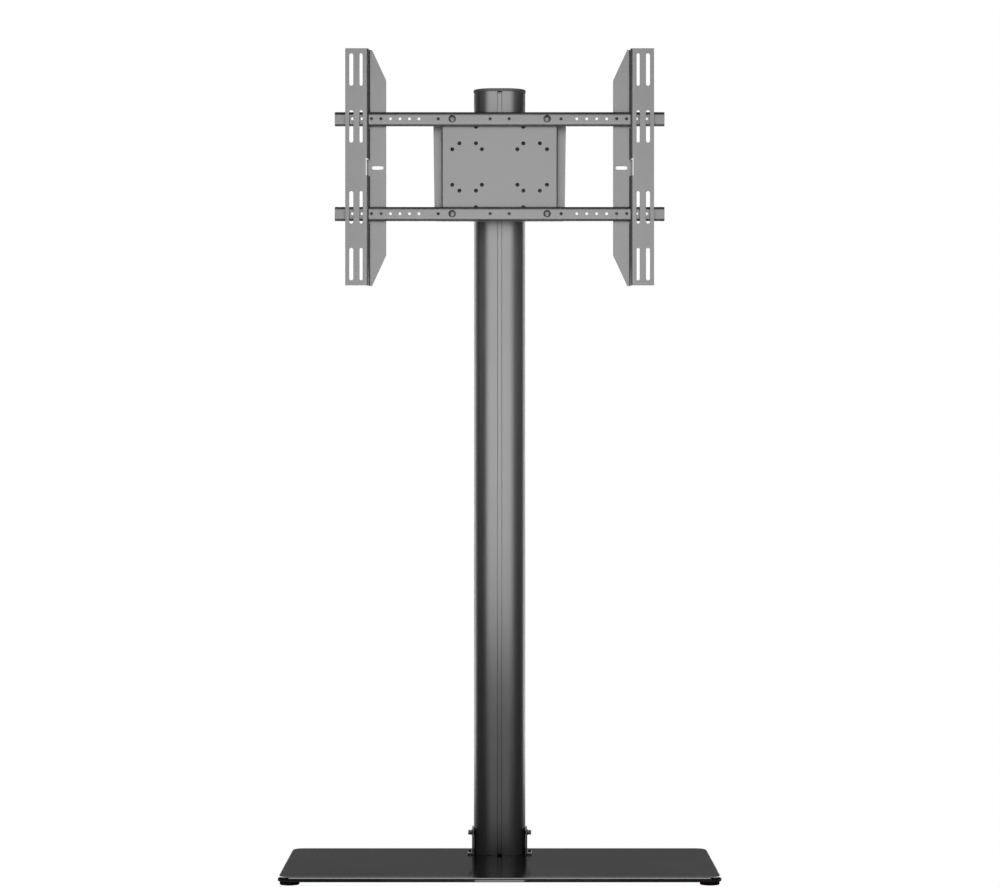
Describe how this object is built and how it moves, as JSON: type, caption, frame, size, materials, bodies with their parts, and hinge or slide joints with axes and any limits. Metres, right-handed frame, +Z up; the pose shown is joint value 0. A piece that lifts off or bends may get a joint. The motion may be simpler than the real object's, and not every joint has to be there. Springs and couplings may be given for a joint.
{
  "type": "floor stand with screen mount",
  "caption": "Free-standing floor stand: flat base plate, tall oval column, clamped head with two rails and two sliding arms that carry a flat screen.",
  "frame": {"origin": "middle of the base plate's footprint, on the floor", "axes": "+Z up, -Y to the front, where the screen hangs, +X to the right as seen from the front"},
  "size_m": [0.896, 0.45, 1.7241],
  "materials": {
    "powder_coat": "satin black powder coat on steel sheet",
    "base_coat": "semi-gloss black powder coat on steel plate",
    "anodised": "satin black anodised extrusion",
    "cap_plastic": "black moulded plastic",
    "strip_plastic": "black extruded plastic strip",
    "rubber": "matt black rubber",
    "black_steel": "black oxide",
    "zinc_steel": "bright zinc"
  },
  "bodies": {
    "stand": {"base_plate": "base_coat", "bracket_base_bolt_left": "black_steel", "bracket_base_bolt_right": "black_steel", "bracket_side_bolt_left": "black_steel", "bracket_side_bolt_right": "black_steel", "bracket_side_nut_left": "zinc_steel", "bracket_side_nut_right": "zinc_steel", "bracket_washer_left": "black_steel", "bracket_washer_right": "black_steel", "column": "anodised", "column_cap": "cap_plastic", "column_screw_front_left": "black_steel", "column_screw_front_right": "black_steel", "column_screw_rear_left": "black_steel", "column_screw_rear_right": "black_steel", "foot_bracket_left": "powder_coat", "foot_bracket_right": "powder_coat", "foot_front_left": "rubber", "foot_front_right": "rubber", "foot_rear_left": "rubber", "foot_rear_right": "rubber", "foot_screw_front_left": "zinc_steel", "foot_screw_front_right": "zinc_steel", "foot_screw_rear_left": "zinc_steel", "foot_screw_rear_right": "zinc_steel", "slot_strip_front_lower": "strip_plastic", "slot_strip_front_upper": "strip_plastic", "slot_strip_rear": "strip_plastic"},
    "head": {"adapter_nut_lower_left": "zinc_steel", "adapter_nut_lower_right": "zinc_steel", "adapter_nut_upper_left": "zinc_steel", "adapter_nut_upper_right": "zinc_steel", "adapter_plate": "powder_coat", "adapter_screw_lower_left": "black_steel", "adapter_screw_lower_right": "black_steel", "adapter_screw_upper_left": "black_steel", "adapter_screw_upper_right": "black_steel", "column_plate": "powder_coat", "rail_bolt_lower_left": "black_steel", "rail_bolt_lower_right": "black_steel", "rail_bolt_upper_left": "black_steel", "rail_bolt_upper_right": "black_steel", "rail_lower": "powder_coat", "rail_nut_lower_left": "zinc_steel", "rail_nut_lower_right": "zinc_steel", "rail_nut_upper_left": "zinc_steel", "rail_nut_upper_right": "zinc_steel", "rail_upper": "powder_coat", "slot_bolt_lower": "black_steel", "slot_bolt_upper": "black_steel", "slot_nut_lower": "zinc_steel", "slot_nut_upper": "zinc_steel"},
    "arm_left": {"arm_left": "powder_coat", "arm_lock_nut_left": "zinc_steel", "arm_lock_screw_left": "black_steel"},
    "arm_right": {"arm_lock_nut_right": "zinc_steel", "arm_lock_screw_right": "black_steel", "arm_right": "powder_coat"}
  },
  "joints": [
    {"name": "head_height", "type": "slide", "parent": "stand", "child": "head", "axis": [0, 0, 1], "range_m": [-0.06, 0.05]},
    {"name": "arm_left_slide", "type": "slide", "parent": "head", "child": "arm_left", "axis": [-1, 0, 0], "range_m": [-0.11, 0.02]},
    {"name": "arm_right_slide", "type": "slide", "parent": "head", "child": "arm_right", "axis": [1, 0, 0], "range_m": [-0.11, 0.02]}
  ]
}
